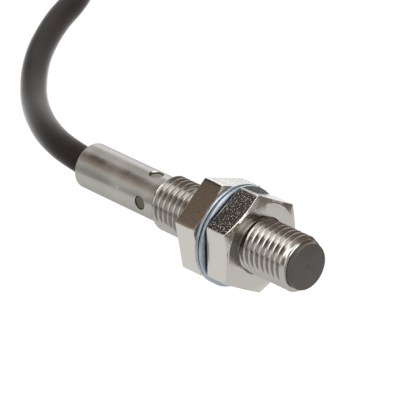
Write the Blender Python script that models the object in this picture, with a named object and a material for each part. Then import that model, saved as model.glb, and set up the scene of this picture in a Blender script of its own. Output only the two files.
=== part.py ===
"""M8 inductive proximity sensor with its two nuts, two lock washers and a 2 m lead.

The sensor lies along X. The origin is the middle of the sensing face, which looks along +X,
and +Z is up. The sensor lies on its lock washers, and its lead runs down to the same surface.
"""

from math import ceil, cos, floor, pi, radians, sin, tan

import bmesh
import bpy
from mathutils import Vector

MM = 0.001

# Housing: lengths run back from the sensing face
HOUSING_LENGTH = 43.4 * MM
CAP_STAND_OUT = 0.8 * MM
THREAD_LENGTH = 26.6 * MM
THREAD_RADIUS = 4.0 * MM
THREAD_PITCH = 1.0 * MM
THREAD_DEPTH = 0.541 * MM
THREAD_CLEARANCE = 0.12 * MM
SLEEVE_RADIUS = 3.35 * MM
BORE_RADIUS = 2.95 * MM
INDICATOR_X = -30.0 * MM
INDICATOR_RADIUS = 1.0 * MM
WINDOW_RECESS = 0.3 * MM
WINDOW_GAP = 0.08 * MM

# Hexagon nuts
NUT_ACROSS_FLATS = 13.0 * MM
NUT_THICKNESS = 4.0 * MM
NUT_CHAMFER_ANGLE = radians(22)
NUT_FACE_RADIUS = 6.2 * MM
FRONT_NUT_BACK_X = -12.95 * MM
REAR_NUT_BACK_X = -18.65 * MM
FRONT_NUT_TURN = radians(31.4)
REAR_NUT_TURN = radians(40.9)

# Internal-tooth lock washers, which hang a little below the axis
WASHER_RADIUS = 7.3 * MM
WASHER_DROP = 0.25 * MM
WASHER_RIM_RADIUS = 5.7 * MM
WASHER_TOOTH_RADIUS = 4.4 * MM
WASHER_TOOTH_CORNER = 0.1 * MM
WASHER_THICKNESS = 0.55 * MM
WASHER_TOOTH_TWIST = 0.07 * MM
WASHER_TEETH = 8
NUT_TO_WASHER = 0.1 * MM
WASHER_TO_WASHER = 0.18 * MM

# Board inside the sleeve
BOARD_FRONT_X = -5.9 * MM
BOARD_REAR_X = -34.4 * MM
BOARD_WIDTH = 4.4 * MM
BOARD_THICKNESS = 0.6 * MM
PART_GAP = 0.05 * MM

# Lead
CORD_RADIUS = 2.05 * MM
CORE_RADIUS = 0.55 * MM
JACKET_INNER_X = -37.4 * MM
TIP_RADIUS = 0.3 * MM
SURFACE_Z = -WASHER_RADIUS - WASHER_DROP
CORD_LIE_Z = SURFACE_Z + CORD_RADIUS + 0.02 * MM
JOINT_GAP = 0.3 * MM

# Coil of the lead's spare length: layers of four and three turns lie in each other's hollows
COIL_CENTRE = (-143.9 * MM, 33.9 * MM)
COIL_MID_RADIUS = 21.6 * MM
COIL_TURNS_ACROSS = 4
COIL_LAYERS = 4
COIL_LAYER_RISE = 3.63 * MM
COIL_LIFT = 0.8 * MM
COIL_END_ANGLE = radians(200)
TAIL_DROP_START = 22 * MM
TAIL_DROP_LENGTH = 34 * MM
TAIL_LENGTH = 60 * MM
TAIL_BEND_RADIUS = 48 * MM
TIE_WIDTH = 3.2 * MM
TIE_THICKNESS = 0.5 * MM
TIE_GAP = 0.25 * MM
TIE_ANGLE = radians(330)
TIE_HEAD_SIZE = (2.4 * MM, 4.6 * MM, 3.4 * MM)
TIE_HEAD_STAND_OFF = 1.0 * MM
TIE_HEAD_EDGE = 0.3 * MM

# The free run's own points, from the housing's rear end to the coil, in millimetres
FREE_RUN = [
    (-43.7, 0.0, 0.0), (-47.1, 0.5, -0.1), (-51.5, 1.75, -0.53), (-56.0, 3.75, -1.22),
    (-60.7, 6.4, -2.15), (-65.4, 9.5, -3.2), (-70.0, 12.8, -4.25), (-74.5, 16.3, -5.0),
    (-78.8, 20.0, -5.42), (-82.8, 23.85, -5.48), (-86.4, 27.8, -5.48), (-89.6, 31.9, -5.48),
    (-92.4, 35.9, -5.48), (-94.8, 39.8, -5.48), (-97.1, 44.1, -5.48), (-100.6, 49.3, -5.48),
    (-105.1, 53.7, -5.48), (-110.2, 57.2, -5.48), (-115.7, 59.8, -5.46), (-121.7, 61.5, -5.35),
    (-128.4, 62.0, -5.2),
]

# Far ends of the three stripped conductors, from the jacket's end: (along, aside) in millimetres
LEAD_FANS = {
    "brown": [(0.3, 0.75), (6.0, 1.6), (14.0, 4.6), (22.0, 5.6), (28.0, 5.0)],
    "blue": [(0.3, 0.0), (8.0, -0.2), (16.0, 0.4), (24.0, 0.0), (31.0, -0.8)],
    "black": [(0.3, -0.75), (6.0, -1.8), (13.0, -4.0), (20.0, -5.4), (26.0, -5.6)],
}
TIP_LENGTH = 5.0 * MM

COLUMNS = 24


def clear_scene():
    for obj in list(bpy.data.objects):
        bpy.data.objects.remove(obj)


def make_material(name, colour, metallic, roughness):
    """A Principled material with one colour and finish."""
    material = bpy.data.materials.new(name)
    material.use_nodes = True
    shader = material.node_tree.nodes["Principled BSDF"]
    shader.inputs["Base Color"].default_value = (*colour, 1.0)
    shader.inputs["Metallic"].default_value = metallic
    shader.inputs["Roughness"].default_value = roughness
    return material


def add_mesh(name, vertices, faces, material, location=(0, 0, 0), sharp=radians(35)):
    """A closed mesh object: repeated points are merged and the faces are turned outwards."""
    mesh = bpy.data.meshes.new(name)
    mesh.from_pydata(vertices, [], faces)
    work = bmesh.new()
    work.from_mesh(mesh)
    bmesh.ops.remove_doubles(work, verts=work.verts, dist=1e-7)
    bmesh.ops.recalc_face_normals(work, faces=work.faces)
    work.to_mesh(mesh)
    work.free()
    mesh.shade_smooth()
    mesh.set_sharp_from_angle(angle=sharp)
    mesh.materials.append(material)
    obj = bpy.data.objects.new(name, mesh)
    obj.location = location
    bpy.context.scene.collection.objects.link(obj)
    return obj


def turned(name, outline, material, location=(0, 0, 0), columns=COLUMNS):
    """A closed outline of (x, radius) points turned about X."""
    count = len(outline)
    vertices = []
    faces = []
    for column in range(columns):
        angle = 2 * pi * column / columns
        vertices += [(x, r * cos(angle), r * sin(angle)) for x, r in outline]
        here = column * count
        there = (column + 1) % columns * count
        for row in range(count):
            after = (row + 1) % count
            faces.append((here + row, here + after, there + after, there + row))
    return add_mesh(name, vertices, faces, material, location)


def tube_outline(front, rear, outer, inner):
    """The outline of a plain tube, or of a rod where inner is 0."""
    return [(front, inner), (front, outer), (rear, outer), (rear, inner)]


def thread_column(angle, rear, front, offset, ridge, groove, outside):
    """One lengthwise row of thread points (x, radius) at an angle about X.

    The housing's ridge stands at ridge radius where x is a whole number of pitches past
    offset + pitch * angle / turn. The thread fades out at 45 degrees at both ends.
    """
    crest_half = THREAD_PITCH / 16
    root_half = THREAD_PITCH / 8
    pattern = [(-crest_half, ridge), (crest_half, ridge),
               (THREAD_PITCH / 2 - root_half, groove), (THREAD_PITCH / 2 + root_half, groove)]
    first = floor((rear - offset) / THREAD_PITCH) - 3
    last = ceil((front - offset) / THREAD_PITCH) + 3
    points = []
    for turn in range(first, last):
        middle = offset + THREAD_PITCH * (turn + angle / (2 * pi))
        for step, radius in pattern:
            x = min(max(middle + step, rear), front)
            inset = min(x - rear, front - x)
            if outside:
                radius = min(radius, groove + inset)
            else:
                radius = max(radius, ridge - inset)
            points.append((x, radius))
    return points


def threaded(name, rear, front, offset, radii, outside, rest_of_outline, material,
             location=(0, 0, 0), turn=0.0):
    """A solid with a helical thread between rear and front, in its own coordinates.

    rest_of_outline(angle) gives the (x, radius) points that close the outline, from the
    thread's front end round to its rear end. After one turn each thread point meets the
    point one pitch further on.
    """
    columns = []
    for column in range(COLUMNS):
        angle = turn + 2 * pi * column / COLUMNS
        rows = thread_column(angle, rear, front, offset, radii[0], radii[1], outside)
        columns.append((angle, rows, rest_of_outline(angle)))
    thread_rows = len(columns[0][1])
    count = thread_rows + len(columns[0][2])
    vertices = []
    for angle, rows, rest in columns:
        vertices += [(x, r * cos(angle), r * sin(angle)) for x, r in rows + rest]

    def one_pitch_on(row):
        return min(row + 4, thread_rows - 1) if row < thread_rows else row

    faces = []
    for column in range(COLUMNS):
        here = column * count
        last = column == COLUMNS - 1
        there = 0 if last else here + count
        for row in range(count):
            after = (row + 1) % count
            far_row = one_pitch_on(row) if last else row
            far_after = one_pitch_on(after) if last else after
            faces.append((here + row, here + after, there + far_after, there + far_row))
    return add_mesh(name, vertices, faces, material, location)


def add_block(name, size, centre, material, bevel=0.0):
    """A rectangular block with rounded edges where bevel is given."""
    mesh = bpy.data.meshes.new(name)
    work = bmesh.new()
    bmesh.ops.create_cube(work, size=1.0)
    bmesh.ops.scale(work, vec=Vector(size), verts=work.verts)
    if bevel:
        bmesh.ops.bevel(work, geom=work.edges, offset=bevel, segments=1, affect="EDGES")
    work.to_mesh(mesh)
    work.free()
    mesh.materials.append(material)
    obj = bpy.data.objects.new(name, mesh)
    obj.location = centre
    bpy.context.scene.collection.objects.link(obj)
    return obj


def add_rod_cutter(name, radius, length, centre, direction):
    """A hidden round cutter along Y or Z."""
    bpy.ops.mesh.primitive_cylinder_add(vertices=20, radius=radius, depth=length, location=centre)
    cutter = bpy.context.object
    cutter.name = name
    if direction == "Y":
        cutter.rotation_euler = (pi / 2, 0, 0)
    return hide_guide(cutter)


def hide_guide(guide):
    """Marks an object that only shapes another one."""
    guide.hide_render = True
    guide.display_type = "WIRE"
    return guide


def add_boolean(obj, other, operation):
    modifier = obj.modifiers.new(operation.title(), "BOOLEAN")
    modifier.operation = operation
    modifier.solver = "EXACT"
    modifier.object = other


def smooth_path(points, spacing):
    """Evenly spaced points on a smooth curve through the given ones (Catmull-Rom).

    Past each end the curve is carried on with the same bend, so that it leaves evenly.
    """
    knots = [Vector(p) for p in points]
    if len(knots) > 2:
        lead_in = 3 * knots[0] - 3 * knots[1] + knots[2]
        lead_out = 3 * knots[-1] - 3 * knots[-2] + knots[-3]
    else:
        lead_in = 2 * knots[0] - knots[1]
        lead_out = 2 * knots[-1] - knots[-2]
    padded = [lead_in] + knots + [lead_out]
    dense = []
    for p0, p1, p2, p3 in zip(padded, padded[1:], padded[2:], padded[3:]):
        for step in range(24):
            t = step / 24
            dense.append(0.5 * (2 * p1 + (p2 - p0) * t + (2 * p0 - 5 * p1 + 4 * p2 - p3) * t * t
                                + (3 * p1 - p0 - 3 * p2 + p3) * t ** 3))
    dense.append(knots[-1])
    lengths = [0.0]
    for a, b in zip(dense, dense[1:]):
        lengths.append(lengths[-1] + (b - a).length)
    count = max(2, round(lengths[-1] / spacing))
    result = []
    at = 0
    for i in range(count + 1):
        wanted = lengths[-1] * i / count
        while at < len(lengths) - 2 and lengths[at + 1] < wanted:
            at += 1
        share = (wanted - lengths[at]) / (lengths[at + 1] - lengths[at])
        result.append(dense[at].lerp(dense[at + 1], min(max(share, 0.0), 1.0)))
    return result


def add_wire(name, points, radius, material, resolution=2):
    """A round wire or cord along a list of points, closed at both ends."""
    curve = bpy.data.curves.new(name, "CURVE")
    curve.dimensions = "3D"
    curve.bevel_depth = radius
    curve.bevel_resolution = resolution
    curve.use_fill_caps = True
    spline = curve.splines.new("POLY")
    spline.points.add(len(points) - 1)
    for point, place in zip(spline.points, points):
        point.co = (*place, 1.0)
    curve.materials.append(material)
    obj = bpy.data.objects.new(name, curve)
    bpy.context.scene.collection.objects.link(obj)
    return obj


def in_metres(points):
    return [tuple(value * MM for value in point) for point in points]


def make_housing(material):
    """Threaded barrel and smooth sleeve, bored through, with four indicator holes."""
    front = -CAP_STAND_OUT
    thread_rear = front - THREAD_LENGTH
    rear = -HOUSING_LENGTH
    edge = 0.15 * MM
    rest = [(front, BORE_RADIUS), (rear, BORE_RADIUS), (rear, SLEEVE_RADIUS - edge),
            (rear + edge, SLEEVE_RADIUS), (thread_rear, SLEEVE_RADIUS)]
    radii = (THREAD_RADIUS, THREAD_RADIUS - THREAD_DEPTH)
    housing = threaded("housing", thread_rear, front, 0.0, radii, True,
                       lambda angle: rest, material)
    for direction in ("Y", "Z"):
        cutter = add_rod_cutter("indicator_hole_" + direction, INDICATOR_RADIUS,
                                3 * SLEEVE_RADIUS, (INDICATOR_X, 0, 0), direction)
        add_boolean(housing, cutter, "DIFFERENCE")


def make_nut(name, back_x, turn, material):
    """Hexagon nut in its own coordinates from its back face, chamfered at the front."""
    half_flat = NUT_ACROSS_FLATS / 2

    def rest_of_outline(angle):
        from_flat = (angle - turn) % (pi / 3) - pi / 6
        side = half_flat / cos(from_flat)
        chamfer = (side - NUT_FACE_RADIUS) * tan(NUT_CHAMFER_ANGLE)
        return [(NUT_THICKNESS, NUT_FACE_RADIUS), (NUT_THICKNESS - chamfer, side), (0.0, side)]

    radii = (THREAD_RADIUS + THREAD_CLEARANCE, THREAD_RADIUS - THREAD_DEPTH + THREAD_CLEARANCE)
    threaded(name, 0.0, NUT_THICKNESS, -back_x, radii, False, rest_of_outline, material,
             location=(back_x, 0, 0), turn=turn)


def make_washer(name, rear_x, turn, material):
    """Flat ring with teeth that point inwards, each tooth twisted a little about its root."""
    steps = WASHER_TEETH * 6
    rim = WASHER_RIM_RADIUS + WASHER_TOOTH_CORNER
    vertices = []
    faces = []
    for step in range(steps):
        angle = turn + 2 * pi * step / steps
        place = step % 6
        tooth = place in (1, 2, 3, 4)
        inner = WASHER_TOOTH_RADIUS if tooth else WASHER_RIM_RADIUS
        lift = (place - 2.5) / 1.5 * WASHER_TOOTH_TWIST if tooth else 0.0
        for x, radius in ((lift, inner), (WASHER_THICKNESS + lift, inner),
                          (WASHER_THICKNESS, rim), (WASHER_THICKNESS, WASHER_RADIUS),
                          (0.0, WASHER_RADIUS), (0.0, rim)):
            vertices.append((x, radius * cos(angle), radius * sin(angle)))
        here = step * 6
        there = (step + 1) % steps * 6
        for row in range(6):
            after = (row + 1) % 6
            faces.append((here + row, here + after, there + after, there + row))
    add_mesh(name, vertices, faces, material, location=(rear_x, 0, -WASHER_DROP))


def make_cap(material):
    """Cup-shaped cap: a disc that stands out of the barrel and a skirt inside its bore."""
    shoulder = -CAP_STAND_OUT + PART_GAP
    edge = 0.2 * MM
    outer = SLEEVE_RADIUS
    skirt = BORE_RADIUS - 0.1 * MM
    skirt_inner = skirt - 0.25 * MM
    outline = [(0.0, 0.0), (0.0, outer - edge), (-0.3 * edge, outer - 0.3 * edge), (-edge, outer),
               (shoulder, outer), (shoulder, skirt), (-6.5 * MM, skirt),
               (-6.5 * MM, skirt_inner), (-0.9 * MM, skirt_inner), (-0.9 * MM, 0.0)]
    turned("sensing_cap", outline, material, columns=36)


def make_sensing_coil(ferrite, copper, bobbin_plastic, brass):
    """Pot core, bobbin, winding and shield ring, all open towards the cap."""
    turned("shield_ring", tube_outline(-1.2 * MM, -6.2 * MM, 2.5 * MM, 2.35 * MM), brass)
    core_outline = [(-1.1 * MM, 0.0), (-1.1 * MM, 0.75 * MM), (-3.5 * MM, 0.75 * MM),
                    (-3.5 * MM, 1.95 * MM), (-1.1 * MM, 1.95 * MM), (-1.1 * MM, 2.25 * MM),
                    (-4.3 * MM, 2.25 * MM), (-4.3 * MM, 0.0)]
    core = turned("ferrite_core", core_outline, ferrite)
    slot = hide_guide(add_block("core_slot", (4 * MM, 0.5 * MM, 6 * MM), (-3.1 * MM, 0, 0), ferrite))
    slot_keep = add_block("core_slot_middle", (5 * MM, 1 * MM, 2.5 * MM), (-3.1 * MM, 0, 0), ferrite)
    add_boolean(slot, hide_guide(slot_keep), "DIFFERENCE")
    add_boolean(core, slot, "DIFFERENCE")
    bobbin_outline = [(-1.2 * MM, 0.82 * MM), (-1.2 * MM, 1.88 * MM), (-1.4 * MM, 1.88 * MM),
                      (-1.4 * MM, 1.0 * MM), (-3.2 * MM, 1.0 * MM), (-3.2 * MM, 1.88 * MM),
                      (-3.4 * MM, 1.88 * MM), (-3.4 * MM, 0.82 * MM)]
    turned("coil_bobbin", bobbin_outline, bobbin_plastic)
    turned("coil_winding", tube_outline(-1.45 * MM, -3.15 * MM, 1.75 * MM, 1.06 * MM), copper)
    for name, side in (("coil_lead_start", 1), ("coil_lead_end", -1)):
        route = in_metres([(-2.4, 0, side * 2.02), (-4.6, 0, side * 2.04), (-5.6, 0, side * 1.7),
                           (-6.4, 0, side * 0.9), (-6.8, 0, side * 0.46)])
        add_wire(name, smooth_path(route, 0.5 * MM), 0.07 * MM, copper)


def make_board(board_green, chip_black, resistor_black, capacitor_tan, clear_lens):
    """Board along the sleeve's axis, with the pieces soldered on its two sides."""
    length = BOARD_FRONT_X - BOARD_REAR_X
    middle = (BOARD_FRONT_X + BOARD_REAR_X) / 2
    add_block("circuit_board", (length, BOARD_WIDTH, BOARD_THICKNESS), (middle, 0, 0), board_green)

    def solder_on(name, x, y, size, side, material, bevel=0.05):
        z = side * (BOARD_THICKNESS / 2 + PART_GAP + size[2] * MM / 2)
        size_in_metres = tuple(value * MM for value in size)
        add_block(name, size_in_metres, (x * MM, y * MM, z), material, bevel * MM)

    solder_on("oscillator_chip", -10.5, 0, (3.0, 3.0, 0.8), 1, chip_black)
    solder_on("output_transistor", -17.0, 0.4, (2.9, 1.3, 1.0), 1, chip_black)
    solder_on("protection_diode", -22.4, 0, (2.6, 1.4, 1.0), 1, chip_black)
    resistor = (1.0, 0.5, 0.35)
    places = [(-13.4, 1.0, 1), (-13.4, -1.0, 1), (-16.0, 1.2, -1), (-25.6, 0.0, 1)]
    for number, (x, y, side) in enumerate(places, start=1):
        solder_on(f"resistor_{number}", x, y, resistor, side, resistor_black, 0.03)
    for number, x in enumerate((-9.5, -12.6, -20.0), start=1):
        solder_on(f"capacitor_{number}", x, 0, (1.6, 0.8, 0.8), -1, capacitor_tan)
    solder_on("upper_led", -30.0, 0, (1.6, 0.8, 0.6), 1, clear_lens)
    solder_on("lower_led", -30.0, 0, (1.6, 0.8, 0.6), -1, clear_lens)


def make_light_ring(clear_resin):
    """Clear ring round the board whose four bosses fill the indicator holes."""
    half = 1.7 * MM
    ring = turned("light_ring", tube_outline(INDICATOR_X + half, INDICATOR_X - half,
                                             BORE_RADIUS - 0.1 * MM, 2.4 * MM), clear_resin)
    inner = 2.6 * MM
    outer = SLEEVE_RADIUS - WINDOW_RECESS
    for quarter in range(4):
        angle = quarter * pi / 2
        reach = (inner + outer) / 2
        bpy.ops.mesh.primitive_cylinder_add(
            vertices=16, radius=INDICATOR_RADIUS - WINDOW_GAP, depth=outer - inner,
            location=(INDICATOR_X, reach * sin(angle), reach * cos(angle)),
            rotation=(-angle, 0, 0))
        boss = bpy.context.object
        boss.name = f"light_boss_{quarter}"
        add_boolean(ring, hide_guide(boss), "UNION")


def make_cable_entry(rubber, jacket, core_colours):
    """Rubber bush in the sleeve's end, the jacket's inner end and its three conductors."""
    rear = -HOUSING_LENGTH
    grommet_outline = tube_outline(rear + 4.6 * MM, rear + 0.2 * MM, BORE_RADIUS - 2 * PART_GAP,
                                   CORD_RADIUS + PART_GAP)
    turned("cable_grommet", grommet_outline, rubber)
    turned("cable_inner_end", tube_outline(JACKET_INNER_X, rear, CORD_RADIUS, 0.0), jacket)
    pads = {
        "brown": [(-37.1, 0.75, 0.45), (-36.0, 0.9, 0.6), (-34.6, 1.15, 0.95), (-33.0, 1.2, 0.97)],
        "black": [(-37.1, -0.75, 0.45), (-36.0, -0.9, 0.6), (-34.6, -1.15, 0.95),
                  (-33.0, -1.2, 0.97)],
        "blue": [(-37.1, 0, -0.85), (-36.0, 0, -0.92), (-34.6, 0, -0.97), (-33.0, 0, -0.97)],
    }
    for colour, points in pads.items():
        route = smooth_path(in_metres(points), 0.9 * MM)
        add_wire(colour + "_core", route, CORE_RADIUS, core_colours[colour])


def coil_layer_z(layer):
    """Height of a layer's cord centre."""
    return SURFACE_Z + COIL_LIFT + CORD_RADIUS + layer * COIL_LAYER_RISE


def make_coil(jacket, tie_plastic):
    """The wound length as one turned ring, and the band that holds it."""
    inner = COIL_MID_RADIUS - COIL_TURNS_ACROSS * CORD_RADIUS
    outer = COIL_MID_RADIUS + COIL_TURNS_ACROSS * CORD_RADIUS
    low = coil_layer_z(0) - CORD_RADIUS
    high = coil_layer_z(COIL_LAYERS - 1) + CORD_RADIUS
    outline = []
    corners = ((outer, high, 0), (inner, high, 90), (inner, low, 180), (outer, low, 270))
    for radius, z, start in corners:
        centre_r = radius + CORD_RADIUS * (1 if radius == inner else -1)
        centre_z = z + CORD_RADIUS * (1 if z == low else -1)
        for part in range(4):
            angle = radians(start + 30 * part)
            outline.append((centre_z + CORD_RADIUS * sin(angle), centre_r + CORD_RADIUS * cos(angle)))
    ring = turned("cable_coil", outline, jacket, location=(*COIL_CENTRE, 0), columns=36)
    ring.rotation_euler = (0, -pi / 2, 0)
    make_tie(inner, outer, low, high, tie_plastic)


def make_tie(inner, outer, low, high, material):
    """A band round the coil's section, with its head on the outside."""
    gap = TIE_GAP
    band = TIE_THICKNESS
    corner = CORD_RADIUS + gap
    half = TIE_WIDTH / 2
    loop = []
    corners = ((outer, high, 0), (inner, high, 90), (inner, low, 180), (outer, low, 270))
    for radius, z, start in corners:
        centre_r = radius + CORD_RADIUS * (1 if radius == inner else -1)
        centre_z = z + CORD_RADIUS * (1 if z == low else -1)
        for part in range(4):
            angle = radians(start + 30 * part)
            loop.append((centre_r, centre_z, cos(angle), sin(angle)))
    vertices = []
    faces = []
    for station, (r, z, out_r, out_z) in enumerate(loop):
        for thickness, side in ((0, -half), (band, -half), (band, half), (0, half)):
            reach = corner + thickness
            vertices.append((r + reach * out_r, side, z + reach * out_z))
        here = station * 4
        there = (station + 1) % len(loop) * 4
        for row in range(4):
            after = (row + 1) % 4
            faces.append((here + row, here + after, there + after, there + row))
    tie = add_mesh("cable_tie", vertices, faces, material, location=(*COIL_CENTRE, 0))
    tie.rotation_euler = (0, 0, TIE_ANGLE)
    head_r = outer + gap + band + TIE_HEAD_STAND_OFF
    direction = Vector((cos(TIE_ANGLE), sin(TIE_ANGLE), 0))
    head_place = Vector((*COIL_CENTRE, (low + high) / 2)) + direction * head_r
    head = add_block("tie_head", TIE_HEAD_SIZE, head_place, material, TIE_HEAD_EDGE)
    head.rotation_euler = (0, 0, TIE_ANGLE)
    add_boolean(tie, hide_guide(head), "UNION")


def tail_point(distance):
    """Plan place, height and heading of the tail at a distance past the last turn."""
    radius = COIL_MID_RADIUS + (COIL_TURNS_ACROSS - 2) * CORD_RADIUS
    start = Vector(COIL_CENTRE) + Vector((cos(COIL_END_ANGLE), sin(COIL_END_ANGLE))) * radius
    heading = COIL_END_ANGLE + pi / 2
    swing = distance / TAIL_BEND_RADIUS
    place = start + TAIL_BEND_RADIUS * Vector((sin(heading + swing) - sin(heading),
                                               cos(heading) - cos(heading + swing)))
    top = coil_layer_z(COIL_LAYERS - 1)
    share = min(max((distance - TAIL_DROP_START) / TAIL_DROP_LENGTH, 0.0), 1.0)
    z = top + (CORD_LIE_Z - top) * share * share * (3 - 2 * share)
    return Vector((place.x, place.y, z)), heading + swing


def make_tail(jacket, core_colours, tinned):
    """The jacket's last stretch and the three stripped conductors with tinned ends."""
    clear_radius = COIL_MID_RADIUS + (COIL_TURNS_ACROSS + 1) * CORD_RADIUS + JOINT_GAP
    first = TAIL_DROP_START
    while (tail_point(first)[0].xy - Vector(COIL_CENTRE)).length < clear_radius:
        first += 0.5 * MM
    steps = 10
    route = [tail_point(first + (TAIL_LENGTH - first) * i / steps)[0] for i in range(steps + 1)]
    add_wire("cable_tail", route, CORD_RADIUS, jacket)
    end, heading = tail_point(TAIL_LENGTH)
    along = Vector((cos(heading), sin(heading), 0))
    aside = Vector((-sin(heading), cos(heading), 0))
    floor_z = SURFACE_Z + CORE_RADIUS + 0.02 * MM
    for colour, fan in LEAD_FANS.items():
        start_z = end.z + (0.5 * MM if colour != "blue" else -0.8 * MM)
        points = []
        for number, (forward, sideways) in enumerate(fan):
            place = end + along * forward * MM + aside * sideways * MM
            drop = min(number / 2, 1.0)
            points.append((place.x, place.y, start_z + (floor_z - start_z) * drop))
        route = [Vector((p.x, p.y, max(p.z, floor_z))) for p in smooth_path(points, 1.6 * MM)]
        add_wire(colour + "_lead", route, CORE_RADIUS, core_colours[colour])
        last = (route[-1] - route[-2]).normalized()
        tip_start = route[-1] + last * PART_GAP
        add_wire(colour + "_tip", [tip_start, tip_start + last * TIP_LENGTH], TIP_RADIUS, tinned)


def build():
    clear_scene()
    nickel = make_material("nickel_plate", (0.72, 0.70, 0.66), 1.0, 0.28)
    zinc = make_material("zinc_plate", (0.62, 0.66, 0.72), 1.0, 0.38)
    cap_plastic = make_material("cap_plastic", (0.13, 0.12, 0.11), 0.0, 0.55)
    jacket = make_material("cable_jacket", (0.06, 0.055, 0.05), 0.0, 0.6)
    rubber = make_material("grommet_rubber", (0.04, 0.04, 0.04), 0.0, 0.75)
    copper = make_material("enamelled_copper", (0.70, 0.30, 0.12), 1.0, 0.35)
    brass = make_material("brass", (0.72, 0.55, 0.25), 1.0, 0.35)
    ferrite = make_material("ferrite", (0.09, 0.09, 0.10), 0.0, 0.6)
    bobbin_plastic = make_material("bobbin_plastic", (0.75, 0.72, 0.62), 0.0, 0.5)
    board_green = make_material("board_laminate", (0.04, 0.22, 0.10), 0.0, 0.45)
    chip_black = make_material("chip_resin", (0.03, 0.03, 0.03), 0.0, 0.5)
    resistor_black = make_material("resistor_film", (0.02, 0.02, 0.03), 0.0, 0.3)
    capacitor_tan = make_material("capacitor_ceramic", (0.55, 0.40, 0.24), 0.0, 0.4)
    clear_resin = make_material("clear_resin", (0.42, 0.40, 0.30), 0.0, 0.2)
    tie_plastic = make_material("tie_nylon", (0.05, 0.05, 0.05), 0.0, 0.45)
    tinned = make_material("tinned_copper", (0.75, 0.75, 0.74), 1.0, 0.3)
    core_colours = {
        "brown": make_material("brown_insulation", (0.20, 0.08, 0.03), 0.0, 0.45),
        "blue": make_material("blue_insulation", (0.03, 0.12, 0.50), 0.0, 0.45),
        "black": make_material("black_insulation", (0.02, 0.02, 0.02), 0.0, 0.45),
    }

    make_housing(nickel)
    make_cap(cap_plastic)
    make_nut("front_nut", FRONT_NUT_BACK_X, FRONT_NUT_TURN, nickel)
    make_nut("rear_nut", REAR_NUT_BACK_X, REAR_NUT_TURN, nickel)
    rear_washer_x = REAR_NUT_BACK_X + NUT_THICKNESS + NUT_TO_WASHER
    front_washer_x = rear_washer_x + WASHER_THICKNESS + WASHER_TO_WASHER
    make_washer("rear_lock_washer", rear_washer_x, 0.0, zinc)
    make_washer("front_lock_washer", front_washer_x, radians(13), zinc)
    make_sensing_coil(ferrite, copper, bobbin_plastic, brass)
    make_board(board_green, chip_black, resistor_black, capacitor_tan, clear_resin)
    make_light_ring(clear_resin)
    make_cable_entry(rubber, jacket, core_colours)
    add_wire("cable", smooth_path(in_metres(FREE_RUN), 2.2 * CORD_RADIUS), CORD_RADIUS, jacket)
    make_coil(jacket, tie_plastic)
    make_tail(jacket, core_colours, tinned)


build()
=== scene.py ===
# %% [markdown]
# # A proximity sensor with its nuts, washers and lead
#
# An inductive proximity sensor is a threaded metal barrel with a coil behind a plastic cap.
# Two nuts and two lock washers hold it in a bracket, and a thin lead carries its signal away.
# The functional model is loaded first, as a fixed frame. Everything after it is surface:
# finer meshes that stand for the plain ones, and a material for every finish.

# %% Load the frame
import math

import bmesh
import bpy
import numpy as np
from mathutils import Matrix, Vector


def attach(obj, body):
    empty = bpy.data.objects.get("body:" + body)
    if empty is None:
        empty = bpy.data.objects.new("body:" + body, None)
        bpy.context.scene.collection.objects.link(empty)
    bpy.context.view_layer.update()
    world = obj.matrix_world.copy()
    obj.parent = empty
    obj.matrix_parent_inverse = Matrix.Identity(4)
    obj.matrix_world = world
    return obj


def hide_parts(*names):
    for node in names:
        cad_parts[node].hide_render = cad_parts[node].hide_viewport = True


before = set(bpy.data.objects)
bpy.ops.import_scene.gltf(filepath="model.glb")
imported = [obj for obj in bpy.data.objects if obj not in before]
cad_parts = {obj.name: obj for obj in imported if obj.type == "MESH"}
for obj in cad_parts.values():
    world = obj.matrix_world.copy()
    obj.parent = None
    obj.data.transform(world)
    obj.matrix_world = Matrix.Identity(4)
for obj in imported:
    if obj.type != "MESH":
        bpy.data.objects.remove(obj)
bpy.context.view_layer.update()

MM = 0.001
print("nodes in the frame:", len(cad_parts))

# %% [markdown]
# ## The camera
#
# A long lens flattens perspective, as in most product pictures: here the sensor is small and the
# camera stands more than half a metre away. The camera is placed by its position and by the
# point it looks at, so its direction is worked out and not typed in.

# %% Camera
CAMERA_PLACE = np.array([356.9, -356.7, 259.2]) * MM
CAMERA_AIM = np.array([-13.05, -7.66, 8.02]) * MM
LENS_MM = 379.0
SENSOR_MM = 36.0


def look_rotation(place, aim):
    """Euler turn whose -Z runs from place to aim, with +Y kept as near to straight up as it can be."""
    return Vector(aim - place).to_track_quat("-Z", "Y").to_euler()


camera_data = bpy.data.cameras.new("camera")
camera_data.lens = LENS_MM
camera_data.sensor_width = SENSOR_MM
camera_data.clip_start = 0.01
camera_data.clip_end = 10.0
camera = bpy.data.objects.new("camera", camera_data)
camera.location = CAMERA_PLACE
camera.rotation_euler = look_rotation(CAMERA_PLACE, CAMERA_AIM)
bpy.context.scene.collection.objects.link(camera)
bpy.context.scene.camera = camera
print("camera distance, m:", round(float(np.linalg.norm(CAMERA_PLACE - CAMERA_AIM)), 3))

# %% [markdown]
# ## Building a surface from a grid
#
# Nearly every piece here is one idea: a grid of points, each row a ring and each column a line
# along the piece. The grid is worked out as a whole numpy array, and one function turns it into
# a mesh.

# %% Grid to mesh


def grid_places(rows, columns):
    """The row number and the column number of every place on a grid, as two flat arrays."""
    row, column = np.meshgrid(np.arange(rows), np.arange(columns), indexing="ij")
    return row.ravel(), column.ravel()


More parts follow.
